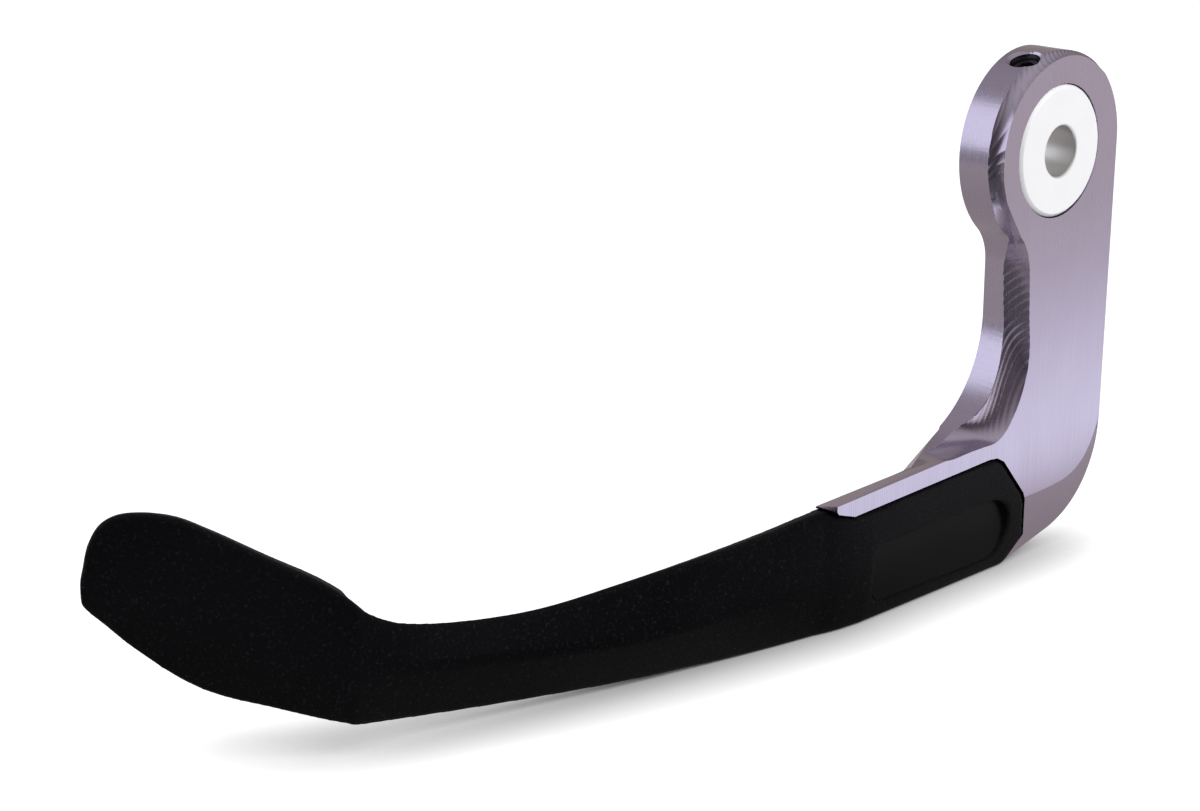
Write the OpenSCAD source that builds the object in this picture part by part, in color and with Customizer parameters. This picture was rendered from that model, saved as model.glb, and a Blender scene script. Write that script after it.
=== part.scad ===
// Clutch lever guard: a machined arm with a clamped bush at its head, and a
// moulded blade that sits in a pocket at its foot and sweeps back to a paddle.
// The origin is on the axis of the bush's bore, in the plane of the arm's front
// face. The bore runs along Y with the front face toward -Y, the blade runs
// toward -X, and +Z is up with the guard standing on the blade's lower edge.

/* [Head] */
// Outer radius of the ring
ring_r = 16.5; // [16:0.1:17.5]
// Thickness of the arm's plate
plate_t = 8; // [7.6:0.1:9]
// Outer diameter of the bush
bush_d = 22; // [20:0.1:23]
// Gap all round the bush in its seat
bush_gap = 0.15; // [0.05:0.05:0.3]
// How far the bush stands proud of each face of the ring
bush_proud = 0.3; // [0:0.1:1]
// Diameter of the clearance hole for the bar end bolt
bolt_d = 8.4; // [6.4:0.1:10.4]
// Chamfer on the bush's edges
bush_chamfer = 0.6; // [0.2:0.1:1]

/* [Grub screw] */
// Diameter of the tapped hole in the rim
grub_hole_d = 5; // [4:0.1:5.2]
// Length of the screw
grub_l = 4; // [3:0.1:4.6]
// Place round the rim, from +X toward +Z, in degrees
grub_angle = 109; // [100:1:120]
// Width across the flats of its hexagon socket
grub_af = 2.5; // [2:0.1:2.6]

/* [Arm] */
// Height from the bore's axis down to the blade's lower edge
drop = 70.7; // [70:0.1:72]
// Place of the arm's right edge at the elbow
arm_right = 15.7; // [15:0.1:16.4]
// Place of the arm's inner edge
arm_left = -8.3; // [-8.8:0.1:-7.8]
// Radius of the inner corner at the back
corner_r = 20; // [19:0.1:21]
// Radius of the outer corner of the elbow
elbow_r = 16.7; // [16:0.1:17.5]
// Top of the strip over the blade, at its right end
strip_top = -46.7; // [-47.2:0.1:-46]
// How far the strip's top falls over its length
strip_fall = 1.5; // [0:0.1:2]
// Depth of the lower facet at the blade's lower edge
facet_depth = 2; // [1:0.1:3]
// Height of the ridge between the front face and the lower facet
ridge_z = -58.8; // [-60:0.1:-58]
// Depth of the blade's pocket in the front face
pocket_depth = 5.4; // [5.2:0.1:5.6]
// Width of the strip's flat top behind its front edge
strip_land = 3.3; // [3:0.1:4]
// How far the flat top falls toward the back, on the strip and on the blade
land_fall = 0.7; // [0.4:0.1:0.9]
// Height of the strip over the pocket, at its right end
strip_h = 3; // [2.8:0.1:3.4]

/* [Blade] */
// Gap between the blade and the metal
seam = 0.3; // [0.15:0.05:0.4]
// Place along X where the blade starts to sweep back
sweep_x = -44; // [-46:1:-42]
// Angle of the sweep where it starts
sweep_angle = 6; // [4:0.5:8]
// Radius of the blade's bow
bow_r = 370; // [300:10:500]
// Length of the blade from the bore's axis to the crease before the paddle
blade_l = 136; // [122:1:150]
// Extra turn of the paddle past the crease
paddle_turn = 20; // [10:1:28]
// Length of the paddle
paddle_l = 38; // [36:0.5:40]
// Thickness of the paddle at its tip
tip_t = 4; // [3:0.1:5]

/* [Badge] */
// Place of the badge's left end
badge_left = -45; // [-46:0.5:-40]
// Place of the badge's rounded right end
badge_right = -8.7; // [-10:0.1:-8.5]
// Top edge of the badge
badge_top = -57.5; // [-58:0.1:-57]
// Bottom edge of the badge
badge_bottom = -68.1; // [-68.4:0.1:-67.5]
// Depth of the badge's recess below the front face
badge_depth = 2.1; // [1.9:0.1:2.2]
// Thickness of the badge
badge_t = 0.5; // [0.4:0.1:0.8]
// Gap round the badge
badge_gap = 0.1; // [0.05:0.05:0.2]

/* [Fasteners] */
// Places of the two blade screws along X
screw_x = [-18, -42]; // [-60:1:0]
// Height of the two blade screws
screw_z = -62.5; // [-64:0.5:-60]
// Nominal diameter of the blade screws
screw_d = 3; // [2.5:0.5:3]
// Head diameter of the blade screws
screw_head_d = 5.6; // [5:0.1:6]
// Length of the blade screws with the head
screw_l = 5; // [4.2:0.1:5]
// Outer diameter of the threaded inserts
insert_d = 4.6; // [4:0.1:5]
// Length of the threaded inserts
insert_l = 2.5; // [2:0.1:2.6]

/* [Hidden] */
$fn = 96;
back = plate_t;
strip_end = -58;
bush_seat_d = bush_d + 2 * bush_gap;
grub_d = grub_hole_d - 0.2;
head_deep = (screw_head_d - screw_d) / 2;
foot_end = -55;
head_sink = 0.13;
root_x = -46;
crease_x = -blade_l;
room = 2 * (blade_l + paddle_l);

// A point on a circle about c
function on_circle(c, r, a) = [c[0] + r * cos(a), c[1] + r * sin(a)];

// A value that goes smoothly from 0 to 1 as x goes from a to b
function ease(x, a, b) =
    let (t = min(1, max(0, (x - a) / (b - a))))
    t * t * (3 - 2 * t);

// A smooth curve through a list of hand set stations, split n times a span
function spline_at(p, i, t) =
    let (n = len(p) - 1,
         a = p[max(0, i - 1)],
         b = p[i],
         c = p[min(n, i + 1)],
         d = p[min(n, i + 2)])
    0.5 * (2 * b + (c - a) * t
           + (2 * a - 5 * b + 4 * c - d) * t * t
           + (3 * b - a - 3 * c + d) * t * t * t);
function spline(p, n) = [
    for (i = [0:len(p) - 2], k = [0:n - 1]) spline_at(p, i, k / n),
    p[len(p) - 1]
];

// Faces of a solid made of equal rings of points, closed at both ends
function ring_faces(rings, m) = concat(
    [[for (j = [0:m - 1]) j]],
    [for (i = [0:rings - 2], j = [0:m - 1])
        let (k = (j + 1) % m)
        [i * m + k, i * m + j, (i + 1) * m + j, (i + 1) * m + k]],
    [[for (j = [m - 1:-1:0]) (rings - 1) * m + j]]
);

// Turns a drawing in X and Z into a slab between two depths along Y
module slab(y0, y1)
    translate([0, y1, 0])
        rotate([90, 0, 0])
            linear_extrude(y1 - y0)
                children();

// A round hole or rod along Y
module rod_y(d, y0, y1, x = 0, z = 0)
    translate([x, y0, z])
        rotate([-90, 0, 0])
            cylinder(d = d, h = y1 - y0);

// A cone along Y, d0 at y0 and d1 at y1
module cone_y(d0, d1, y0, y1, x = 0, z = 0)
    translate([x, y0, z])
        rotate([-90, 0, 0])
            cylinder(d1 = d0, d2 = d1, h = y1 - y0);

// Outline of the arm seen from the front: ring, arm, elbow and foot
neck_r = 8;
neck_c = [arm_left - neck_r,
          -sqrt(pow(ring_r + neck_r, 2) - pow(arm_left - neck_r, 2))];
corner_c = [arm_left - corner_r, strip_top - 0.4 + corner_r];
elbow_c = [arm_right - elbow_r, -51];
elbow_a = -75;
elbow_end = on_circle(elbow_c, elbow_r, elbow_a);
foot_x = -10;

// Points of an arc about c, from angle a to angle b, both ends included
function arc(c, r, a, b, n) = [for (i = [0:n]) on_circle(c, r, a + (b - a) * i / n)];

neck_a = atan2(-neck_c[1], -neck_c[0]);
module arm_outline()
    polygon(concat(
        arc([0, 0], ring_r, -2, 180 + neck_a, 92),
        arc(neck_c, neck_r, neck_a, 0, 14),
        arc(corner_c, corner_r, -1, -90, 36),
        [[strip_end, strip_top - strip_fall],
         [strip_end, -drop],
         [foot_x, -drop]],
        arc(elbow_c, elbow_r, elbow_a, -2, 26)));

// Cove along the inner front edge. A station's place on the wall comes with the
// cove's width there, how far past the wall it starts, and its depth.
cove_w = 1.2;
function at_neck(a, w, o, d) =
    concat(on_circle(neck_c, neck_r + w, a), on_circle(neck_c, neck_r + o, a), [d]);
function at_arm(z, w, o, d) = [arm_left + w, z, arm_left + o, z, d];
function at_corner(a, w, o, d) =
    concat(on_circle(corner_c, corner_r + w, a), on_circle(corner_c, corner_r + o, a), [d]);
cove_stations = [
    at_neck(neck_a - 6, 0.6, -0.4, 2.7),
    at_neck(neck_a - 24, 0.7, -0.4, 3.4),
    at_neck(4, 0.8, -0.3, 4),
    at_arm(corner_c[1] + 5, 0.9, -0.2, 4.3),
    at_arm(corner_c[1], 1.5, -0.3, 4),
    at_corner(-12, 2.9, -0.2, 3.4),
    at_corner(-22, 3.9, 0.1, 2.9),
    at_corner(-32, 4.5, 0.3, 2.6),
    at_corner(-41, 4.9, 0.4, 2.5),
    at_corner(-49, 5, 0.4, 2.9),
    at_corner(-55, 4.3, 0.1, 3.8),
    at_corner(-61, 2.8, -0.3, 5),
    at_corner(-70, 1.2, -0.4, 5.6),
    at_corner(-82, 0.25, -0.25, 5.8)
];
cove_ring = [for (a = [52:8:212])
    let (g = ease(a, 48, 120),
         w = 0.2 + (cove_w - 0.2) * g)
    [(ring_r - w) * cos(a), (ring_r - w) * sin(a),
     (ring_r + 0.03) * cos(a), (ring_r + 0.03) * sin(a), 0.2 + 1.9 * g]];
cove_path = concat(cove_ring, spline(cove_stations, 4));

// One ring of the cutter: a hollow between the two edges, run on past both
function cove_ring_points(s) =
    let (f = [s[0], s[1]],
         w = [s[2], s[3]],
         u = (w - f) / norm(w - f),
         d = s[4],
         k = norm(w - f),
         m = (f + w) / 2,
         fore = f - u * k / max(d, 0.3) * 0.3,
         far = w + u * 2.2,
         deep = d + 2.2 * min(2.5, d / k))
    [[fore[0], -1.5, fore[1]],
     [far[0], -1.5, far[1]],
     [far[0], deep, far[1]],
     [w[0], d, w[1]],
     [m[0] - u[0] * 0.10 * d, d / 2 + 0.10 * k, m[1] - u[1] * 0.10 * d],
     [f[0], 0, f[1]],
     [fore[0], -0.3 * min(1, d / 0.3), fore[1]]];

module cove_cutter()
    polyhedron(
        points = [for (s = cove_path, p = cove_ring_points(s)) p],
        faces = ring_faces(len(cove_path), 7),
        convexity = 6);

// Lower facet: each station holds a point of its ridge on the front face, a
// point of the outer edge, and the depth there.
facet_stations = [
    [-70, ridge_z, -70, -drop, facet_depth],
    [-10, ridge_z, -10, -drop, facet_depth],
    [-2, ridge_z, 0, -68.3, facet_depth * 0.86],
    [6.2, ridge_z + 0.3, 8.2, -65.0, facet_depth * 0.56],
    [10.6, ridge_z + 1.6, 12.3, -61.4, facet_depth * 0.36],
    [13.2, ridge_z + 3.8, 14.8, -57.2, facet_depth * 0.2],
    [14.9, ridge_z + 6.5, 15.7, -53.6, facet_depth * 0.09],
    [15.9, ridge_z + 10, 16.1, -48.8, 0.02]
];
facet_path = concat([facet_stations[0]],
                    spline([for (i = [1:len(facet_stations) - 1]) facet_stations[i]], 3));

function facet_ring_points(s) =
    let (r = [s[0], s[1]],
         o = [s[2], s[3]],
         u = (o - r) / norm(o - r),
         slope = s[4] / norm(o - r),
         fore = r - u * 0.5,
         far = o + u * 4)
    [[fore[0], -2, fore[1]],
     [far[0], -2, far[1]],
     [far[0], s[4] + 4 * slope, far[1]],
     [fore[0], -0.5 * slope, fore[1]]];

module facet_cutter()
    polyhedron(
        points = [for (s = facet_path, p = facet_ring_points(s)) p],
        faces = ring_faces(len(facet_path), 4),
        convexity = 4);

// Outline of the pocket in the arm's foot, and of the blade's root in it
pocket_top_r = strip_top - strip_h;
pocket_top_l = strip_top - strip_fall - strip_h + 0.4;
module pocket_outline(g = 0)
    polygon([[-15.6 - g, pocket_top_r - g],
             [-13.4 - g * 0.8, pocket_top_r - 0.25 - g],
             [-11.5 - g * 0.7, pocket_top_r - 1.3 - g * 0.7],
             [-5.6 - g * 0.9, -57.9 - g * 0.4],
             [-5.0 - g, -59.4],
             [-3.2 - g, -66.3 - g * 0.4],
             [-8.2 - g * 0.5, -drop - 0.1 - g],
             [-8.2 - g * 0.5, -drop - 6],
             [-75, -drop - 6],
             [-75, -40],
             [-60.7 - g, -40],
             [-56.6 - g, strip_top - strip_fall + 1.3],
             [-54.6 - g, pocket_top_l + 1.3 - g * 0.4],
             [-50.6 - g * 0.5, pocket_top_l - g]]);

// Chamfer behind the strip, which runs out up the wall of the corner
chamfer_x = -33;
runout_x = -19;
module strip_chamfer() {
    back_z = strip_top - strip_fall - (back - strip_land) - 1;
    hull() {
        translate([chamfer_x - 40, 0, 0])
            rotate([90, 0, 90])
                linear_extrude(40)
                    polygon([[strip_land - 2, strip_top + 0.9],
                             [back + 1, back_z],
                             [back + 1, strip_top + 2]]);
        translate([runout_x, back, strip_top + 1.5])
            cube([0.01, 1, 3]);
    }
}

// Wedge that lets the strip's flat top fall toward the back
module strip_slope()
    hull()
        for (s = [[runout_x - 5, strip_top + 0.1, 0],
                  [strip_end - 2, strip_top - strip_fall - 0.07, land_fall]])
            translate([s[0], 0, s[1]])
                rotate([90, 0, 90])
                    linear_extrude(0.01)
                        polygon([[0, 0],
                                 [back + 1, -s[2] * (back + 1) / strip_land],
                                 [back + 1, 3],
                                 [0, 3]]);

module grub_bore(d, from, to)
    translate([0, back / 2, 0])
        rotate([0, -grub_angle, 0])
            rotate([0, 90, 0])
                translate([0, 0, from])
                    cylinder(d = d, h = to - from);

module arm() color([0.66, 0.6, 0.7])
    difference() {
        slab(0, back)
            arm_outline();
        slab(-1, pocket_depth)
            pocket_outline();
        translate([foot_end - 40, -1, -100])
            cube([40, back + 2, 60]);
        cove_cutter();
        facet_cutter();
        strip_chamfer();
        strip_slope();
        rod_y(bush_seat_d, -1, back + 1);
        grub_bore(grub_hole_d, bush_d / 2 - 1, ring_r + 2);
        translate([0, back / 2, 0])
            rotate([0, -grub_angle, 0])
                rotate([0, 90, 0])
                    translate([0, 0, ring_r - 0.55])
                        cylinder(d1 = grub_hole_d, d2 = grub_hole_d + 1.2, h = 0.6);
        for (x = screw_x) {
            rod_y(screw_d + 0.3, pocket_depth - 1, back + 1, x, screw_z);
            cone_y(screw_d + 0.3, screw_head_d + 0.3, back - head_deep, back, x, screw_z);
            rod_y(screw_head_d + 0.3, back - 0.01, back + 1, x, screw_z);
        }
    }

module bush() color([0.9, 0.9, 0.92]) {
    y0 = -bush_proud;
    y1 = back + bush_proud;
    c = bush_chamfer;
    r = bush_d / 2;
    b = bolt_d / 2;
    rotate([-90, 0, 0])
        rotate_extrude()
            polygon([[b + 0.3, y0],
                     [r - c, y0],
                     [r, y0 + c],
                     [r, y1 - c],
                     [r - c, y1],
                     [b + 0.3, y1],
                     [b, y1 - 0.3],
                     [b, y0 + 0.3]]);
}

module grub_screw() color([0.16, 0.16, 0.17]) {
    tip = bush_d / 2 + 0.02;
    translate([0, back / 2, 0])
        rotate([0, -grub_angle, 0])
            rotate([0, 90, 0])
                translate([0, 0, tip])
                    difference() {
                        rotate_extrude()
                            polygon([[0, 0.5],
                                     [1.1, 0.05],
                                     [1.5, 0],
                                     [grub_d / 2, 0.8],
                                     [grub_d / 2, grub_l - 0.3],
                                     [grub_d / 2 - 0.3, grub_l],
                                     [0, grub_l]]);
                        translate([0, 0, grub_l - 1.9])
                            cylinder(d = grub_af / cos(30), h = 3, $fn = 6);
                    }
}

// The blade's front line: straight in the pocket, then swept back and bowed
function sweep_y(x) =
    let (d = max(0, sweep_x - x))
    tan(sweep_angle) * d * min(1, d / 12) + d * d / (2 * bow_r);
function sweep_slope(x) =
    (sweep_y(x - 0.5) - sweep_y(x + 0.5));

// A place between the blade's root and its crease, f from 0 to 1
function along(f) = root_x + f * (crease_x - root_x);

// Sections of the blade: place along X, lower edge, ridge and top edge, how
// far the lower and the top edge lie behind the ridge, thickness, top land
blade_stations = [
    [0, -70.7, -58.8, -46.7, 2.0, 0.0, 8.0, 3.3],
    [root_x, -70.7, -59.5, -48.2, 2.0, 0.0, 8.0, 3.3],
    [along(0.111), -70.7, -60.4, -49.2, 2.3, 0.4, 8.0, 3.2],
    [along(0.222), -70.7, -61.1, -50.7, 2.7, 1.2, 8.0, 2.9],
    [along(0.356), -70.4, -61.6, -52.1, 3.0, 1.8, 7.8, 2.5],
    [along(0.511), -69.9, -61.8, -53.5, 3.0, 2.2, 7.4, 2.1],
    [along(0.667), -69.1, -60.8, -54.7, 2.9, 2.4, 7.0, 1.9],
    [along(0.8), -68.3, -59.6, -54.3, 2.6, 2.5, 6.6, 1.8],
    [along(0.911), -67.5, -58.8, -52.6, 2.1, 2.1, 6.2, 1.8],
    [along(0.978), -66.6, -57.4, -49.3, 0.8, 0.7, 5.8, 1.8]
];
blade_path = spline(blade_stations, 5);

// A ring of the blade at station s, as points behind and above the front line
function blade_ring(s) =
    let (b = s[4],
         t = s[5],
         th = s[6],
         land = s[7],
         drop45 = th - t - land)
    [[t + 0.5, s[3]],
     [t + land, s[3] - land_fall],
     [th, s[3] - land_fall - drop45],
     [th, s[1] + 1.4],
     [th - 1.4, s[1]],
     [b + 0.3, s[1]],
     [b - 0.1, s[1] + 0.5],
     [0.05, s[2] - 0.7],
     [0.05, s[2] + 0.7],
     [t, s[3] - 0.6]];
ring_n = 10;

function place_ring(ring, x, y, h) = [
    for (p = ring) [x + p[0] * sin(h), y + p[0] * cos(h), p[1]]
];

crease_y = sweep_y(crease_x);
crease_h = atan(sweep_slope(crease_x));
paddle_h = crease_h + paddle_turn;
crown = 0.12;

// Sections of the paddle: distance past the crease, lower edge, top edge,
// thickness, and how far the edges are rounded back
paddle_stations = [
    [0, -66.2, -47.3, 5.8, 0.5],
    [5, -65.0, -43.8, 5.6, 0.5],
    [12, -62.9, -40.1, 5.3, 0.5],
    [19.5, -60.6, -36.0, 5.0, 0.5],
    [25, -57.7, -33.5, 4.8, 0.5],
    [31, -53.0, -32.8, 4.6, 0.5],
    [paddle_l - 3.4, -49.6, -34.0, 4.4, 0.5],
    [paddle_l - 1.4, -47.7, -37.0, 4.2, 0.5],
    [paddle_l - 0.5, -46.8, -40.4, 4.1, 0.5],
    [paddle_l, -46.0, -42.6, tip_t, 0.5]
];

function paddle_ring(s) =
    let (c = s[4],
         th = s[3],
         mid = (s[1] + s[2]) / 2,
         half = (s[2] - s[1]) / 2,
         fall = min(land_fall, half * 0.3),
         k = min(1.6, half * 0.6))
    [[c * 0.9, s[2]],
     [th - k, s[2] - fall],
     [th, s[2] - fall - k],
     [th, s[1] + k],
     [th - k, s[1] + 0.1],
     [c * 0.9, s[1]],
     [0, s[1] + c],
     [-crown, mid - half * 0.4],
     [-crown, mid + half * 0.4],
     [0, s[2] - c]];

function paddle_place(s) =
    place_ring(paddle_ring(s),
               crease_x - s[0] * cos(paddle_h),
               crease_y + s[0] * sin(paddle_h),
               s[0] < 1 ? (crease_h + paddle_h) / 2 : paddle_h);

module blade_loft() {
    rings = concat(
        [for (s = blade_path) place_ring(blade_ring(s), s[0], sweep_y(s[0]), atan(sweep_slope(s[0])))],
        [for (s = paddle_stations) paddle_place(s)]);
    polyhedron(
        points = [for (r = rings, p = r) p],
        faces = ring_faces(len(rings), ring_n),
        convexity = 6);
}

// Outline of the badge on the blade's root
module badge_outline(g = 0) {
    r = (badge_top - badge_bottom) / 2 - g;
    hull() {
        polygon([[badge_left + g, badge_top - 1.5 - g],
                 [badge_left + 1.2 + g, badge_top - g],
                 [badge_right - r - 1, badge_top - g],
                 [badge_right - r - 1, badge_bottom + g],
                 [badge_left + 2.6 + g, badge_bottom + 0.2 + g],
                 [badge_left + 1 + g, badge_bottom + 1.7 + g]]);
        translate([badge_right - r - g, (badge_top + badge_bottom) / 2])
            circle(r, $fn = 32);
    }
}

module guard_blade() color([0.07, 0.07, 0.075])
    difference() {
        intersection() {
            blade_loft();
            union() {
                slab(-1, pocket_depth)
                    pocket_outline(seam);
                translate([-room, -2, -drop - 10])
                    cube([room + foot_end - seam, room, drop]);
            }
        }
        slab(-1, badge_depth)
            badge_outline();
        for (x = screw_x)
            rod_y(insert_d + 0.02, pocket_depth - insert_l - 0.2, pocket_depth + 1, x, screw_z);
    }

module badge() color([0.1, 0.12, 0.11])
    slab(badge_depth - badge_t, badge_depth)
        badge_outline(badge_gap);

module blade_screw(x) color([0.2, 0.2, 0.21])
    difference() {
        union() {
            rod_y(screw_d - 0.1, back - screw_l, back - 1, x, screw_z);
            cone_y(screw_d, screw_head_d, back - head_deep - head_sink, back - head_sink, x, screw_z);
        }
        translate([x, back - 1.5, screw_z])
            rotate([-90, 0, 0])
                cylinder(d = 2 / cos(30), h = 3, $fn = 6);
    }

module insert(x) color([0.75, 0.62, 0.3])
    difference() {
        rod_y(insert_d, pocket_depth - insert_l, pocket_depth, x, screw_z);
        rod_y(screw_d, pocket_depth - insert_l - 1, pocket_depth + 1, x, screw_z);
    }

module blade_screw_1() blade_screw(screw_x[0]);
module blade_screw_2() blade_screw(screw_x[1]);
module insert_1() insert(screw_x[0]);
module insert_2() insert(screw_x[1]);

arm();
bush();
grub_screw();
guard_blade();
badge();
blade_screw_1();
blade_screw_2();
insert_1();
insert_2();
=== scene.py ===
# Clutch lever guard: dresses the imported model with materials, light and camera.
# Everything is in metres in the model's own frame: the bore along Y, the front
# face toward -Y, the blade toward -X and +Z up. Outlines of pieces are written
# in millimetres.
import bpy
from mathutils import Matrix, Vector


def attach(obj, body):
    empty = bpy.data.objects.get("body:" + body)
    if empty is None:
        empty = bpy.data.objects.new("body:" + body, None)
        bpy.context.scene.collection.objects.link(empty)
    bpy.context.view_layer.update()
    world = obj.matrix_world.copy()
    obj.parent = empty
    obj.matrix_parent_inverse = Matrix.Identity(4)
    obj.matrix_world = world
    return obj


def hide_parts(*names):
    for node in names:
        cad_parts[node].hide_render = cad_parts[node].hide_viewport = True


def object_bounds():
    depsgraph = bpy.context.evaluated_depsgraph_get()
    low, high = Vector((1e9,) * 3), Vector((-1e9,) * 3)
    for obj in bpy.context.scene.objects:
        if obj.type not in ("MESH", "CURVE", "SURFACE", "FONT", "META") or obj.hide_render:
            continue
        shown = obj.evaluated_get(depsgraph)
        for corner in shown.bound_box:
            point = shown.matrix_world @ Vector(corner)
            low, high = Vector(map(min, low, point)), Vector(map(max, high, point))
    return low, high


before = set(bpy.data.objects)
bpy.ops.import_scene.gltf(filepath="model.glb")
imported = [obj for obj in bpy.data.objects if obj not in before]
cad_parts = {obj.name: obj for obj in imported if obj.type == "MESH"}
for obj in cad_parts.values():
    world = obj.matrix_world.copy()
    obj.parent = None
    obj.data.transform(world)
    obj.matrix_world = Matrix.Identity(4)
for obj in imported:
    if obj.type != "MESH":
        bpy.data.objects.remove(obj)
cad_box = [list(corner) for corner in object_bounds()]

import math
import bmesh
import bpy
from mathutils import Vector

MM = 0.001
scene = bpy.context.scene

# Camera
VIEW_AZIMUTH = math.radians(-45.72)
VIEW_ELEVATION = math.radians(17.28)
CAMERA_PLACE = Vector((-375.77, -261.07, 96.65)) * MM
CAMERA_LENS = 84.0
CAMERA_SENSOR = 36.0
CAMERA_NEAR = 0.01
CAMERA_FAR = 20.0


def view_direction():
    flat = math.cos(VIEW_ELEVATION)
    return Vector((-math.sin(VIEW_AZIMUTH) * flat, math.cos(VIEW_AZIMUTH) * flat, -math.sin(VIEW_ELEVATION)))


def add_camera():
    data = bpy.data.cameras.new("camera")
    data.lens = CAMERA_LENS
    data.sensor_width = CAMERA_SENSOR
    data.sensor_fit = "HORIZONTAL"
    data.clip_start = CAMERA_NEAR
    data.clip_end = CAMERA_FAR
    camera = new_object("camera", data)
    camera.location = CAMERA_PLACE
    camera.rotation_euler = view_direction().to_track_quat("-Z", "Y").to_euler()
    scene.camera = camera


# Small helpers for shader nodes
class Nodes:
    """A node tree and short ways to add nodes to it."""

    def __init__(self, tree):
        self.tree = tree

    def node(self, kind, inputs=None, **settings):
        made = self.tree.nodes.new(kind)
        for key, value in settings.items():
            setattr(made, key, value)
        for key, value in (inputs or {}).items():
            self.put(made.inputs[key], value)
        return made

    def put(self, socket, value):
        if isinstance(value, bpy.types.NodeSocket):
            self.tree.links.new(value, socket)
        else:
            socket.default_value = value

    def place(self, scale=(1, 1, 1)):
        coords = self.node("ShaderNodeTexCoord").outputs["Object"]
        return self.node("ShaderNodeMapping", {"Vector": coords, "Scale": scale}).outputs["Vector"]

    def parts(self, vector):
        """The x, y and z of a vector."""
        made = self.node("ShaderNodeSeparateXYZ", {"Vector": vector})
        return made.outputs["X"], made.outputs["Y"], made.outputs["Z"]

    def noise(self, size, detail=2.0, scale=(1, 1, 1), roughness=0.5):
        """Noise whose spots are about size metres across."""
        made = self.node("ShaderNodeTexNoise", {"Vector": self.place(scale), "Scale": 1 / size,
                                                "Detail": detail, "Roughness": roughness})
        return made.outputs["Fac"]

    def maths(self, operation, a, b=0.0):
        return self.node("ShaderNodeMath", {0: a, 1: b}, operation=operation).outputs[0]

    def add(self, a, b):
        return self.maths("ADD", a, b)

    def times(self, a, b):
        return self.maths("MULTIPLY", a, b)

    def remap(self, value, low, high, to_low=0.0, to_high=1.0):
        made = self.node("ShaderNodeMapRange", {"Value": value, "From Min": low, "From Max": high,
                                                "To Min": to_low, "To Max": to_high})
        return made.outputs["Result"]

    def ramp(self, value, *stops):
        """Colour ramp from (place, (r, g, b)) stops."""
        made = self.node("ShaderNodeValToRGB", {"Fac": value})
        while len(made.color_ramp.elements) < len(stops):
            made.color_ramp.elements.new(0.5)
        for element, (place, colour) in zip(made.color_ramp.elements, stops):
            element.position = place
            element.color = (*colour, 1)
        return made.outputs["Color"]

    def light_ramp(self, value, low, high, stops):
        """Light of a colour by a value from low to high. The ramp holds half of each strength."""
        halved = [((place - low) / (high - low), tuple(0.5 * c for c in colour)) for place, colour in stops]
        return self.ramp(self.remap(value, low, high), *halved)

    def mix(self, factor, a, b, blend="MIX"):
        made = self.node("ShaderNodeMix", data_type="RGBA", blend_type=blend)
        for index, value in ((0, factor), (6, a), (7, b)):
            if isinstance(value, tuple):
                value = (*value, 1)
            self.put(made.inputs[index], value)
        return made.outputs[2]

    def bump(self, height, strength, distance, under=None):
        made = self.node("ShaderNodeBump", {"Height": height, "Strength": strength, "Distance": distance})
        if under is not None:
            self.put(made.inputs["Normal"], under)
        return made.outputs["Normal"]


class Shader(Nodes):
    """A principled material."""

    def __init__(self, name, **sockets):
        self.material = bpy.data.materials.new(name)
        self.material.use_nodes = True
        super().__init__(self.material.node_tree)
        self.surface = self.tree.nodes["Principled BSDF"]
        for key, value in sockets.items():
            self.surface.inputs[key.replace("_", " ")].default_value = value

    def finish(self, colour, roughness, normal):
        for key, value in (("Base Color", colour), ("Roughness", roughness), ("Normal", normal)):
            self.put(self.surface.inputs[key], value)
        return self.material


# Geometry
# Each shown piece is a refined copy of its node's mesh.
FLAT_FACE = 0.99999
RIM_TURN = math.radians(2)
NORMAL_WEIGHT = 50
BEVEL_STEPS = 2


def new_object(name, data):
    made = bpy.data.objects.new(name, data)
    scene.collection.objects.link(made)
    return made


def weld(mesh, reach, flat):
    """Joins points closer than reach millimetres, and faces that turn by less than flat degrees."""
    edit = bmesh.new()
    edit.from_mesh(mesh)
    bmesh.ops.remove_doubles(edit, verts=edit.verts, dist=reach * MM)
    bmesh.ops.dissolve_degenerate(edit, edges=edit.edges, dist=reach * MM)
    bmesh.ops.dissolve_limit(edit, angle_limit=math.radians(flat), verts=edit.verts, edges=edit.edges)
    edit.to_mesh(mesh)
    edit.free()


def welded_copy(node, name):
    """The node's mesh in a new object, with doubled points and cuts inside flat faces gone."""
    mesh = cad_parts[node].data.copy()
    mesh.materials.clear()
    weld(mesh, reach=0.002, flat=0.4)
    return new_object(name, mesh)


def applied(piece, kind, **settings):
    """Adds a modifier to the piece and bakes it into its mesh."""
    modifier = piece.modifiers.new(kind.lower(), kind)
    for key, value in settings.items():
        setattr(modifier, key, value)
    depsgraph = bpy.context.evaluated_depsgraph_get()
    mesh = bpy.data.meshes.new_from_object(piece.evaluated_get(depsgraph), depsgraph=depsgraph)
    piece.modifiers.clear()
    old, piece.data = piece.data, mesh
    mesh.name = piece.name
    bpy.data.meshes.remove(old)


def shade(piece, degrees=30.0):
    """Smooth faces, with sharp edges where the surface turns by more than that, and
    round the faces that lie square to Y wherever the next face turns at all."""
    mesh = piece.data
    mesh.polygons.foreach_set("use_smooth", [True] * len(mesh.polygons))
    mesh.set_sharp_from_angle(angle=math.radians(degrees))
    edit = bmesh.new()
    edit.from_mesh(mesh)
    for edge in edit.edges:
        square = [f for f in edge.link_faces if abs(f.normal.y) > FLAT_FACE]
        if len(square) == 1 and len(edge.link_faces) == 2 and edge.calc_face_angle(0) > RIM_TURN:
            edge.smooth = False
    edit.to_mesh(mesh)
    edit.free()
    modifier = piece.modifiers.new("normals", "WEIGHTED_NORMAL")
    modifier.keep_sharp = True
    modifier.weight = NORMAL_WEIGHT


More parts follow.
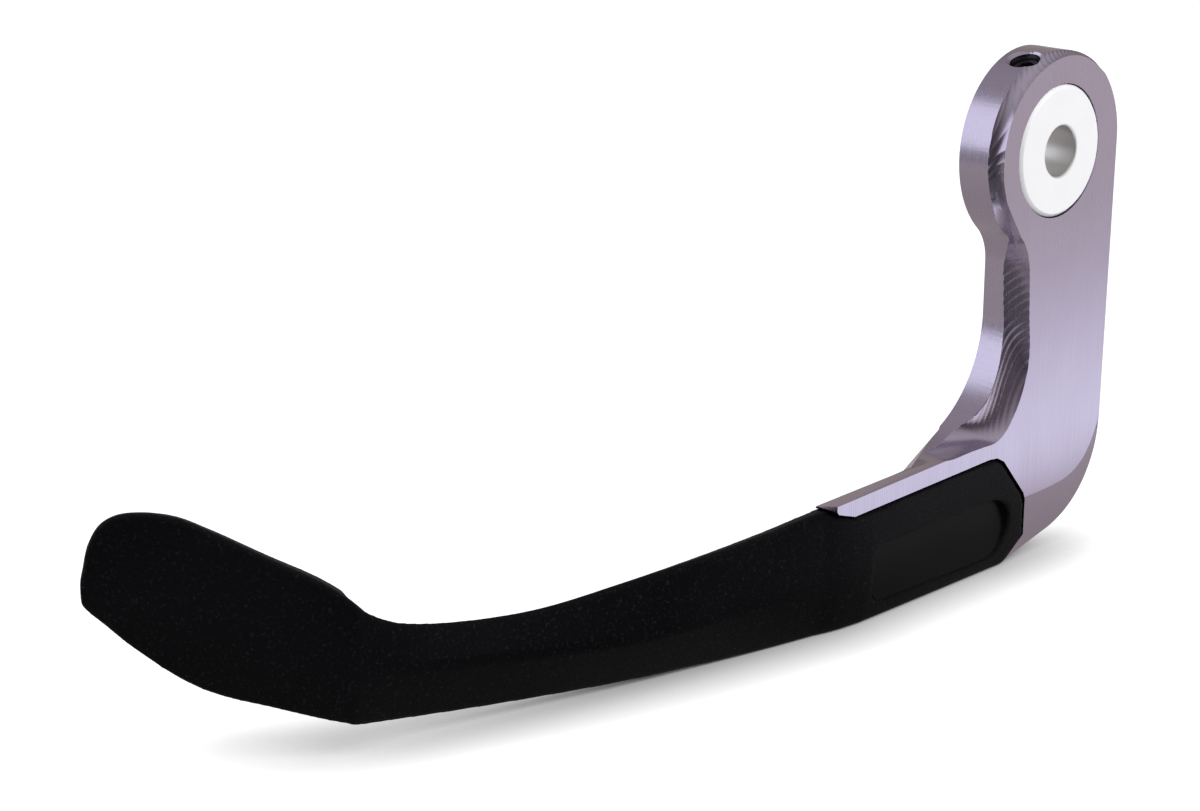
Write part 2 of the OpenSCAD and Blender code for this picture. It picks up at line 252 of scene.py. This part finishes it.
def stands_for(piece, node, material):
    piece.data.materials.clear()
    piece.data.materials.append(material)
    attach(piece, "root")
    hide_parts(node)


def catmull(a, b, c, d, t):
    return 0.5 * (2 * b + (c - a) * t + (2 * a - 5 * b + 4 * c - d) * t ** 2 + (3 * b - a - 3 * c + d) * t ** 3)


def curve_through(stations, steps):
    """A smooth curve through the stations. Between b and c it has steps(b, c) steps."""
    points = [Vector(p) for p in stations]
    last = len(points) - 1
    fine = []
    for i in range(last):
        a, b, c, d = points[max(0, i - 1)], points[i], points[i + 1], points[min(last, i + 2)]
        count = steps(b, c)
        fine += [catmull(a, b, c, d, k / count) for k in range(count)]
    return fine + [points[last]]


def tube(name, rings):
    """A closed mesh through equal rings of points in millimetres."""
    n = len(rings[0])
    points = [Vector(p) * MM for ring in rings for p in ring]
    faces = [(i * n + j, i * n + (j + 1) % n, (i + 1) * n + (j + 1) % n, (i + 1) * n + j)
             for i in range(len(rings) - 1) for j in range(n)]
    faces += [tuple(range(n)), tuple(reversed(range((len(rings) - 1) * n, len(rings) * n)))]
    mesh = bpy.data.meshes.new(name)
    mesh.from_pydata(points, [], faces)
    edit = bmesh.new()
    edit.from_mesh(mesh)
    bmesh.ops.recalc_face_normals(edit, faces=edit.faces)
    edit.to_mesh(mesh)
    edit.free()
    return new_object(name, mesh)


# The milled cove of the arm, as the model has it, in millimetres
RING_R = 16.5
NECK_R = 8.0
CORNER_R = 20.0
ARM_LEFT = -8.3
STRIP_TOP = -46.7
RING_C = Vector((0, 0))
NECK_C = Vector((ARM_LEFT - NECK_R, -math.sqrt((RING_R + NECK_R) ** 2 - (ARM_LEFT - NECK_R) ** 2)))
CORNER_C = Vector((ARM_LEFT - CORNER_R, STRIP_TOP - 0.4 + CORNER_R))
NECK_A = math.degrees(math.atan2(-NECK_C.y, -NECK_C.x))

# The cove grows round the ring between two angles, and the tool marks end before the neck
RING_START = 48
RING_GROWS = 72
RING_MARKS_END = 185
RING_END = 213
RING_STEP = 8

# The ball cutter's straight passes: their direction, distance and depth
PASS_ANGLE = math.radians(62)
PASS_STEP = 0.8
PASS_DEPTH = 0.07

# The cutter that makes the cove: steps along and across it, how far it runs past
# both edges as parts of the cove's width, and the height of its lid
COVE_STEP = 0.16
COVE_ACROSS = 40
COVE_DEEPER = 0.1
COVE_BEFORE = 0.12
COVE_SPAN = 1.5
LID_HEIGHT = 1.5
LID_GROWS = 0.4


def around(centre, radius, degrees):
    a = math.radians(degrees)
    return centre + radius * Vector((math.cos(a), math.sin(a)))


def cove_stations():
    """Front edge, wall edge, depth, strength of the tool marks and hollow, from the ring round to the strip."""
    made = []

    def on_arc(centre, radius, a, width, over, *rest):
        made.append((*around(centre, radius + width, a), *around(centre, radius + over, a), *rest))

    on_arc(RING_C, RING_R, 40, 0.3, 0.6, 0.1, 0, 0.1)
    for a in range(RING_START, RING_END, RING_STEP):
        t = min(1, (a - RING_START) / RING_GROWS)
        grow = t * t * (3 - 2 * t)
        width = 0.2 + grow if a > RING_START else 0.05
        marked = a < RING_MARKS_END
        on_arc(RING_C, RING_R, a, -width, 0.03, 0.2 + 1.9 * grow, int(marked), 0.1 if marked else 0.06)
    for a, width, over, depth, marks in (
            (NECK_A - 6, 0.6, -0.4, 3.0, 0), (NECK_A - 24, 0.8, -0.4, 4.0, 0), (4, 1.2, -0.3, 4.6, 0.6)):
        on_arc(NECK_C, NECK_R, a, width, over, depth, marks, 0.03)
    for above, width, over, depth in ((5, 1.6, -0.2, 4.2), (0, 1.9, -0.3, 4.0)):
        z = CORNER_C.y + above
        made.append((ARM_LEFT + width, z, ARM_LEFT + over, z, depth, 1, 0.03))
    for a, width, over, depth, marks in (
            (-12, 2.9, -0.2, 3.4, 1), (-22, 3.9, 0.1, 2.9, 1), (-32, 4.5, 0.3, 2.6, 1), (-41, 4.9, 0.4, 2.5, 1),
            (-49, 5, 0.4, 2.9, 0.7), (-55, 4.3, 0.1, 3.8, 0.2), (-61, 2.8, -0.3, 5, 0),
            (-70, 1.2, -0.4, 5.6, 0), (-82, 0.25, -0.25, 5.8, 0), (-88, -0.15, -0.5, 5.8, 0)):
        on_arc(CORNER_C, CORNER_R, a, width, over, depth, marks, 0.1)
    return made


def cove_path():
    """The stations at even steps along the cove."""
    return curve_through(cove_stations(),
                         lambda b, c: max(2, round((Vector(c[0:2]) - Vector(b[0:2])).length / COVE_STEP)))


def pass_depth(x, z):
    """How deep the ball cutter goes between two ridges at this place."""
    across = (z * math.cos(PASS_ANGLE) - x * math.sin(PASS_ANGLE)) / PASS_STEP
    off = 2 * (across - math.floor(across)) - 1
    return (1 - off * off) * PASS_DEPTH


def cove_ring(station):
    """One closed ring of the cutter: the hollow with its tool marks, and a lid over it."""
    front, wall, depth = Vector(station[0:2]), Vector(station[2:4]), station[4] + COVE_DEEPER
    marked, hollow = station[5:7]
    width = (wall - front).length
    along = (wall - front) / width
    front = front - along * COVE_DEEPER
    width += COVE_DEEPER
    length = math.hypot(width, depth)
    inward = Vector((-depth, width)) / length
    ring = []
    for i in range(COVE_ACROSS + 1):
        t = -COVE_BEFORE + COVE_SPAN * i / COVE_ACROSS
        bulge = hollow * length * 4 * (t * (1 - t) if t < 1 else 1 - t)
        place = front + along * (t * width + inward.x * bulge)
        marks = marked * pass_depth(place.x, place.y)
        flat = front + along * (t * width + inward.x * (bulge + marks))
        ring.append((flat.x, t * depth + inward.y * (bulge + marks), flat.y))
    lid = -LID_HEIGHT - LID_GROWS * depth
    last, first = ring[-1], ring[0]
    return ring + [(last[0], lid, last[2]), (first[0], lid, first[2])]


# The lower facet, which bends up round the elbow. Each station holds a point of
# its ridge, a point of the outer edge, and the depth there.
RIDGE_Z = -58.8
FACET_DEPTH = 2.1
FACET_LEFT = -70
FACET_STATIONS = (
    (-10, RIDGE_Z, -10, -70.7, FACET_DEPTH), (-2, RIDGE_Z, 0, -68.3, FACET_DEPTH * 0.86),
    (6.2, RIDGE_Z + 0.6, 8.2, -65.0, FACET_DEPTH * 0.57),
    (10.6, RIDGE_Z + 2.4, 12.3, -61.0, FACET_DEPTH * 0.38),
    (13.2, RIDGE_Z + 5.0, 14.9, -56.2, FACET_DEPTH * 0.23),
    (14.9, RIDGE_Z + 8.0, 15.9, -52.0, FACET_DEPTH * 0.11), (15.9, RIDGE_Z + 11, 16.2, -47.4, 0.025))
FACET_STEPS = 16
FACET_LID = -2
FACET_BEFORE = 0.5
FACET_PAST = 4
ARM_SHARP = 26


def facet_ring(station):
    """One closed ring of the facet's cutter, run on past the ridge and the edge."""
    ridge, edge, depth = Vector(station[0:2]), Vector(station[2:4]), station[4]
    down = (edge - ridge).normalized()
    slope = depth / (edge - ridge).length
    fore, far = ridge - down * FACET_BEFORE, edge + down * FACET_PAST
    return [(fore.x, FACET_LID, fore.y), (far.x, FACET_LID, far.y),
            (far.x, depth + FACET_PAST * slope, far.y), (fore.x, -FACET_BEFORE * slope, fore.y)]


def facet_path():
    _, ridge, _, edge, depth = FACET_STATIONS[0]
    bend = curve_through(FACET_STATIONS, lambda b, c: FACET_STEPS)
    return [(FACET_LEFT, ridge, FACET_LEFT, edge, depth)] + bend


def make_arm(material):
    arm = welded_copy("arm", "milled_arm")
    for cutter in (tube("facet_cutter", [facet_ring(st) for st in facet_path()]),
                   tube("cove_cutter", [cove_ring(st) for st in cove_path()])):
        applied(arm, "BOOLEAN", operation="DIFFERENCE", object=cutter, solver="EXACT")
        bpy.data.objects.remove(cutter)
        weld(arm.data, reach=0.004, flat=0.15)
    shade(arm, ARM_SHARP)
    stands_for(arm, "arm", material)


# The blade past its root, as the model has it, with smooth curves through the
# same stations. BLADE_STATIONS holds the place along X, lower edge, ridge and
# top edge, how far the lower and the top edge lie behind the ridge, thickness
# and top land. PADDLE_STATIONS holds the distance past the crease, lower edge,
# top edge and thickness.
SWEEP_X = -44.0
SWEEP_ANGLE = math.radians(6)
SWEEP_EASE = 12
BOW_R = 370.0
CREASE_X = -136.0
PADDLE_TURN = math.radians(20)
PADDLE_L = 38.0
LAND_FALL = 0.7
LOWER_BEVEL = 1.4
RIDGE_HALF = 0.7
RIDGE_BACK = 0.05
CROWN = 0.12
BLADE_STATIONS = (
    (-56, -70.7, -60.4, -49.2, 2.3, 0.4, 8.0, 3.2), (-66, -70.7, -61.1, -50.7, 2.7, 1.2, 8.0, 2.9),
    (-78, -70.4, -61.6, -52.1, 3.0, 1.8, 7.8, 2.5), (-92, -69.9, -61.8, -53.5, 3.0, 2.2, 7.4, 2.1),
    (-106, -69.1, -60.8, -54.7, 2.9, 2.4, 7.0, 1.9), (-118, -68.3, -59.6, -54.3, 2.6, 2.5, 6.6, 1.8),
    (-128, -67.5, -58.8, -52.6, 2.1, 2.1, 6.2, 1.8), (-134, -66.6, -57.4, -49.3, 0.8, 0.7, 5.8, 1.8))
PADDLE_STATIONS = (
    (0, -66.2, -47.3, 5.8), (5, -65.0, -43.8, 5.6), (12, -62.9, -40.1, 5.3), (19.5, -60.6, -36.0, 5.0),
    (25, -57.7, -33.5, 4.8), (31, -53.0, -32.8, 4.6), (PADDLE_L - 3.4, -49.6, -34.0, 4.4),
    (PADDLE_L - 1.4, -47.7, -37.0, 4.2), (PADDLE_L - 0.5, -46.8, -40.4, 4.1), (PADDLE_L, -46.0, -42.6, 4.0))
BLADE_STEPS = 12
PADDLE_STEPS = 8

# The root is the node's own mesh up to JOIN_X. The loft starts before it ends.
JOIN_X = -70.0
JOIN_OVERLAP = 1.5
VOXEL = 0.4
SOFTEN = 0.5
SOFTEN_TIMES = 4


def sweep_y(x):
    d = max(0, SWEEP_X - x)
    return math.tan(SWEEP_ANGLE) * d * min(1, d / SWEEP_EASE) + d * d / (2 * BOW_R)


def sweep_turn(x):
    """The way that the front line turns at x, from its rise over one millimetre."""
    return math.atan(sweep_y(x - 0.5) - sweep_y(x + 0.5))


def placed(ring, x, y, turn):
    return [(x + p * math.sin(turn), y + p * math.cos(turn), z) for p, z in ring]


def blade_ring(station):
    x, low, ridge, top, back_low, back_top, thick, land = station
    fall = thick - back_top - land
    ring = [(back_top + 0.5, top), (back_top + land, top - LAND_FALL), (thick, top - LAND_FALL - fall),
            (thick, low + LOWER_BEVEL), (thick - LOWER_BEVEL, low), (back_low + 0.3, low),
            (back_low - 0.1, low + 0.5), (RIDGE_BACK, ridge - RIDGE_HALF), (RIDGE_BACK, ridge + RIDGE_HALF),
            (back_top, top - 0.6)]
    return placed(ring, x, sweep_y(x), sweep_turn(x))


def paddle_ring(station):
    along, low, top, thick = station
    middle, half = (low + top) / 2, (top - low) / 2
    fall, round_off = min(LAND_FALL, half * 0.3), min(1.6, half * 0.6)
    ring = [(0.45, top), (thick - round_off, top - fall), (thick, top - fall - round_off),
            (thick, low + round_off), (thick - round_off, low + 0.1), (0.45, low), (0, low + 0.5),
            (-CROWN, middle - half * 0.4), (-CROWN, middle + half * 0.4), (0, top - 0.5)]
    crease = sweep_turn(CREASE_X)
    turn = crease + PADDLE_TURN
    return placed(ring, CREASE_X - along * math.cos(turn), sweep_y(CREASE_X) + along * math.sin(turn),
                  crease + PADDLE_TURN / 2 if along < 1 else turn)


def blade_loft():
    sections = curve_through(BLADE_STATIONS, lambda b, c: BLADE_STEPS)
    rings = [blade_ring(st) for st in sections if st[0] < JOIN_X + JOIN_OVERLAP]
    rings += [paddle_ring(st) for st in curve_through(PADDLE_STATIONS, lambda b, c: PADDLE_STEPS)]
    return tube("blade_loft", rings)


def make_blade(material):
    """The root from its node, joined to a finer loft past it, then remeshed with moulded edges."""
    blade = welded_copy("guard_blade", "moulded_blade")
    edit = bmesh.new()
    edit.from_mesh(blade.data)
    cut = bmesh.ops.bisect_plane(edit, geom=edit.verts[:] + edit.edges[:] + edit.faces[:], dist=1e-6,
                                 plane_co=(JOIN_X * MM, 0, 0), plane_no=(-1, 0, 0), clear_outer=True)
    bmesh.ops.edgeloop_fill(edit, edges=[e for e in cut["geom_cut"] if isinstance(e, bmesh.types.BMEdge)])
    loft = blade_loft()
    edit.from_mesh(loft.data)
    edit.to_mesh(blade.data)
    edit.free()
    bpy.data.objects.remove(loft)
    applied(blade, "REMESH", mode="VOXEL", voxel_size=VOXEL * MM)
    applied(blade, "SMOOTH", factor=SOFTEN, iterations=SOFTEN_TIMES)
    shade(blade, 180)
    stands_for(blade, "guard_blade", material)


def soften_edges(piece, width, degrees):
    """Rounds the edges that turn by more than that, by a width in millimetres."""
    applied(piece, "BEVEL", width=width * MM, segments=BEVEL_STEPS, limit_method="ANGLE",
            angle_limit=math.radians(degrees))
    shade(piece)


def make_badge(material):
    badge = welded_copy("badge", "blank_badge")
    soften_edges(badge, width=0.12, degrees=40)
    stands_for(badge, "badge", material)


def make_bush(material):
    bush = welded_copy("bush", "turned_bush")
    soften_edges(bush, width=0.1, degrees=25)
    stands_for(bush, "bush", material)


# Materials
# Milling lines of the arm: their distance, how far they wander, and how strong
# they are on the lower arm and, more so, on the strip
LINE_STEP = 0.45 * MM
LINE_WANDER = 3.0
LINE_DEPTH_LOW = 0.012
LINE_DEPTH_STRIP = 0.05
LINES_Z = (-20 * MM, -40 * MM)
STRIP_X = (-14 * MM, -20 * MM)

# Radii between which the bush's bead blasted face turns to its machined bore, whose darker grey colour is
# painted shade inside the hole
BORE_R = (4.25 * MM, 4.6 * MM)
BORE_SHADE_COLOUR = (0.66, 0.645, 0.63)
FACE_METALLIC = 0.12
BORE_METALLIC = 0.8


def anodised_metal():
    """Purple grey anodising over fine upright milling lines, which are plain to see on the strip."""
    m = Shader("arm_anodised", Metallic=1.0)
    colour = m.ramp(m.noise(0.008, 3), (0.25, (0.455, 0.405, 0.515)), (0.75, (0.475, 0.425, 0.535)))
    x, _, z = m.parts(m.place())
    wave = m.maths("SINE", m.add(m.times(x, 2 * math.pi / LINE_STEP), m.times(m.noise(0.002, 1), LINE_WANDER)))
    low = m.remap(z, *LINES_Z)
    strip = m.times(m.remap(x, *STRIP_X), low)
    depth = m.add(m.times(low, LINE_DEPTH_LOW), m.times(strip, LINE_DEPTH_STRIP))
    tone = m.add(1.0, m.times(wave, depth))
    tint = m.node("ShaderNodeCombineColor", {"Red": tone, "Green": tone, "Blue": tone})
    colour = m.mix(1.0, colour, tint.outputs["Color"], "MULTIPLY")
    lines = m.noise(0.00022, 1, scale=(1, 1, 0.01))
    normal = m.bump(lines, 0.06, 0.00002)
    normal = m.bump(m.noise(0.00012, 2), 0.03, 0.00001, normal)
    return m.finish(colour, m.remap(lines, 0.3, 0.7, 0.21, 0.29), normal)


def bright_metal():
    """Clear anodised and bead blasted, so its faces stay pale from every side. The bore is machined, and its
    darker grey is painted shade inside the hole.
    """
    m = Shader("bush_bright")
    colour = m.ramp(m.noise(0.006, 2), (0.3, (0.92, 0.93, 0.945)), (0.7, (0.945, 0.955, 0.97)))
    x, _, z = m.parts(m.place())
    bore = m.remap(m.maths("SQRT", m.add(m.times(x, x), m.times(z, z))), *BORE_R, 1.0, 0.0)
    m.put(m.surface.inputs["Metallic"], m.remap(bore, 0.0, 1.0, FACE_METALLIC, BORE_METALLIC))
    grain = m.noise(0.0001, 2)
    # The bore's darker grey is painted shade inside the hole; its higher metallic is the machined finish
    return m.finish(m.mix(bore, colour, BORE_SHADE_COLOUR), m.remap(grain, 0.3, 0.7, 0.36, 0.48),
                    m.bump(grain, 0.08, 0.00002))


def black_steel():
    m = Shader("screws_black_oxide", Metallic=0.9)
    colour = m.ramp(m.noise(0.002, 2), (0.3, (0.02, 0.02, 0.022)), (0.7, (0.05, 0.05, 0.052)))
    grain = m.noise(0.00015, 2)
    return m.finish(colour, m.remap(grain, 0.3, 0.7, 0.33, 0.48), m.bump(grain, 0.12, 0.00002))


def grained_plastic():
    m = Shader("blade_grained_plastic", Specular_IOR_Level=0.09)
    colour = m.ramp(m.noise(0.02, 2), (0.3, (0.0018, 0.0018, 0.0024)), (0.7, (0.0030, 0.0029, 0.0038)))
    # Lighter specks over the grain are painted sheen: small glints of light on the grained surface
    sheen_specks = m.remap(m.noise(0.0005, 2, roughness=0.7), 0.58, 0.72)
    colour = m.mix(sheen_specks, colour, (0.012, 0.012, 0.014))
    grain = m.noise(0.00035, 3, roughness=0.6)
    return m.finish(colour, m.remap(grain, 0.3, 0.7, 0.50, 0.66), m.bump(grain, 0.45, 0.00008))


def badge_plastic():
    m = Shader("badge_smooth_plastic", Specular_IOR_Level=0.07)
    colour = m.ramp(m.noise(0.008, 2), (0.3, (0.0014, 0.0020, 0.0022)), (0.7, (0.0020, 0.0028, 0.0029)))
    grain = m.noise(0.0005, 2)
    return m.finish(colour, m.remap(grain, 0.3, 0.7, 0.28, 0.36), m.bump(grain, 0.05, 0.00003))


def brass():
    m = Shader("insert_brass", Metallic=1.0)
    colour = m.ramp(m.noise(0.002, 2), (0.3, (0.62, 0.46, 0.20)), (0.7, (0.72, 0.55, 0.26)))
    grain = m.noise(0.00015, 2)
    return m.finish(colour, m.remap(grain, 0.3, 0.7, 0.26, 0.38), m.bump(grain, 0.1, 0.00002))


def paint(material, *nodes):
    for node in nodes:
        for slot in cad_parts[node].material_slots:
            slot.material = material


# Floor, world and lamp
FLOOR_COLOUR = (0.45, 0.45, 0.45)
FLOOR_HALF = 3.0
# The glow that the camera sees is darkened within CONTACT_REACH of the object by ambient occlusion: a painted
# contact shadow
FLOOR_GLOW = 0.8
CONTACT_REACH = 0.012
CONTACT_POWER = 1.8
CONTACT_SAMPLES = 8

# What metal sees of the floor is painted light and shade: light by the place along Y, brightest in a painted
# band just in front of the object and dimmer right at it, except to the left in front of the blade and far
# toward the camera, where painted shade makes it dark
FLOOR_Y = (-0.3, 0.6)
FLOOR_SEEN = (
    (-0.3, (0.82, 0.75, 0.74)), (-0.16, (0.69, 0.65, 0.62)), (-0.127, (0.72, 0.67, 0.66)),
    (-0.1, (0.90, 0.87, 0.92)), (-0.081, (1.06, 1.08, 1.17)), (-0.062, (1.22, 1.25, 1.32)),
    (-0.044, (1.38, 1.43, 1.54)), (-0.034, (1.38, 1.43, 1.54)), (-0.014, (0.56, 0.50, 0.50)),
    (0.0, (0.45, 0.41, 0.38)), (0.085, (0.50, 0.46, 0.44)), (0.165, (0.60, 0.55, 0.53)),
    (0.225, (0.28, 0.26, 0.28)), (0.42, (0.28, 0.26, 0.28)), (0.55, (1.3, 1.33, 1.42)))
FLOOR_LEFT = (0.07, 0.065, 0.07)
LEFT_FADE_X = (-0.06, -0.02)
LEFT_FADE_Y = (-0.005, 0.005)
FLOOR_AT_CAMERA = (0.03, 0.028, 0.03)
TOWARD_CAMERA = (-0.77, -0.64)
CAMERA_FADE = (0.2, 0.3)

# What it sees of the room, by how high it looks: in front, at the rear, and on
# the bright wall, which fades in above the floor, below the top and to the side
ROOM_Z = (-0.3, 1.0)
ROOM_TURN_Y = (-0.3, 0.3)
ROOM_FRONT = (
    (-0.3, (0.42, 0.38, 0.35)), (0.0, (0.10, 0.09, 0.10)), (0.3, (0.14, 0.12, 0.13)),
    (0.7, (0.5, 0.48, 0.48)), (1.0, (0.7, 0.68, 0.68)))
ROOM_REAR = (
    (-0.3, (0.42, 0.38, 0.35)), (0.3, (0.40, 0.35, 0.32)), (0.7, (0.34, 0.31, 0.33)), (1.0, (0.6, 0.58, 0.58)))
WALL_COLOUR = (0.66, 0.68, 0.74)
WALL_SIDE = (-0.716, 0.698)
WALL_SIDE_FADE = (0.5, 0.72)
WALL_LOW_FADE = (-0.03, 0.03)
WALL_HIGH_FADE = (0.72, 0.62)
WHITE = (0.5, 0.5, 0.5)
ROOM_STRENGTH = 2.0

LAMP_TARGET = Vector((-0.07, 0.01, -0.03))
LAMP_OFFSET = Vector((0.15, -0.60, 0.44))
LAMP_SIZE = (0.75, 0.5)
LAMP_WATTS = 5.2


def add_floor(z):
    """White to the camera, with a soft shadow and a painted contact shadow where its glow darkens near the
    object. Metal sees a painted pool of light near the elbow, dimmer away from it.
    """
    mesh = bpy.data.meshes.new("floor")
    corners = ((-1, -1), (1, -1), (1, 1), (-1, 1))
    mesh.from_pydata([(x * FLOOR_HALF, y * FLOOR_HALF, z) for x, y in corners], [], [(0, 1, 2, 3)])
    floor = new_object("floor", mesh)
    m = Shader("floor_white", Roughness=0.9)
    m.surface.inputs["Base Color"].default_value = (*FLOOR_COLOUR, 1)
    m.surface.inputs["Emission Color"].default_value = (1, 1, 1, 1)
    path = m.node("ShaderNodeLightPath")
    # The camera's glow fades by ambient occlusion near the object: a painted contact shadow over the real one
    open_sky = m.node("ShaderNodeAmbientOcclusion", {"Distance": CONTACT_REACH}, samples=CONTACT_SAMPLES)
    soft = m.times(m.maths("POWER", open_sky.outputs["AO"], CONTACT_POWER), FLOOR_GLOW)
    m.put(m.surface.inputs["Emission Strength"], m.times(path.outputs["Is Camera Ray"], soft))
    x, y, _ = m.parts(m.place())
    # Painted light and shade on the floor, seen only in reflections
    seen = m.light_ramp(y, *FLOOR_Y, FLOOR_SEEN)
    right_or_rear = m.maths("MAXIMUM", m.remap(x, *LEFT_FADE_X), m.remap(y, *LEFT_FADE_Y))
    seen = m.mix(right_or_rear, FLOOR_LEFT, seen)
    toward_camera = m.add(m.times(x, TOWARD_CAMERA[0]), m.times(y, TOWARD_CAMERA[1]))
    seen = m.mix(m.remap(toward_camera, *CAMERA_FADE), seen, FLOOR_AT_CAMERA)
    glow = m.node("ShaderNodeEmission", {"Color": seen, "Strength": ROOM_STRENGTH})
    mixed = m.node("ShaderNodeMixShader", {0: path.outputs["Is Glossy Ray"], 1: m.surface.outputs["BSDF"],
                                           2: glow.outputs["Emission"]})
    m.put(m.tree.nodes["Material Output"].inputs["Surface"], mixed.outputs["Shader"])
    mesh.materials.append(m.material)


def add_world():
    """White where the camera sees it. For light and reflections, a dim room with a bright
    wall on the far left, and darkest low in front."""
    world = bpy.data.worlds.new("studio")
    scene.world = world
    world.use_nodes = True
    m = Nodes(world.node_tree)
    x, y, z = m.parts(m.node("ShaderNodeTexCoord").outputs["Generated"])
    side = m.add(m.times(x, WALL_SIDE[0]), m.times(y, WALL_SIDE[1]))
    wall = m.times(m.remap(z, *WALL_LOW_FADE), m.remap(z, *WALL_HIGH_FADE))
    wall = m.times(wall, m.remap(side, *WALL_SIDE_FADE))
    front = m.light_ramp(z, *ROOM_Z, ROOM_FRONT)
    rear = m.light_ramp(z, *ROOM_Z, ROOM_REAR)
    lit = m.mix(wall, m.mix(m.remap(y, *ROOM_TURN_Y), front, rear), WALL_COLOUR)
    background = m.tree.nodes["Background"]
    m.put(background.inputs["Color"], m.mix(m.node("ShaderNodeLightPath").outputs["Is Camera Ray"], lit, WHITE))
    background.inputs["Strength"].default_value = ROOM_STRENGTH


def add_lamp():
    """A soft box in front. It only lights, because its mirror image would whiten the cove."""
    data = bpy.data.lights.new("front_softbox", "AREA")
    data.shape = "RECTANGLE"
    data.size, data.size_y = LAMP_SIZE
    data.energy = LAMP_WATTS
    lamp = new_object("front_softbox", data)
    lamp.location = LAMP_TARGET + LAMP_OFFSET
    lamp.rotation_euler = (-LAMP_OFFSET).to_track_quat("-Z", "Y").to_euler()
    lamp.visible_camera = False
    lamp.visible_glossy = False


add_camera()
make_arm(anodised_metal())
make_blade(grained_plastic())
make_badge(badge_plastic())
make_bush(bright_metal())
paint(black_steel(), "grub_screw", "blade_screw_1", "blade_screw_2")
paint(brass(), "insert_1", "insert_2")
add_floor(cad_box[0][2])
add_world()
add_lamp()
scene.view_settings.view_transform = "Standard"
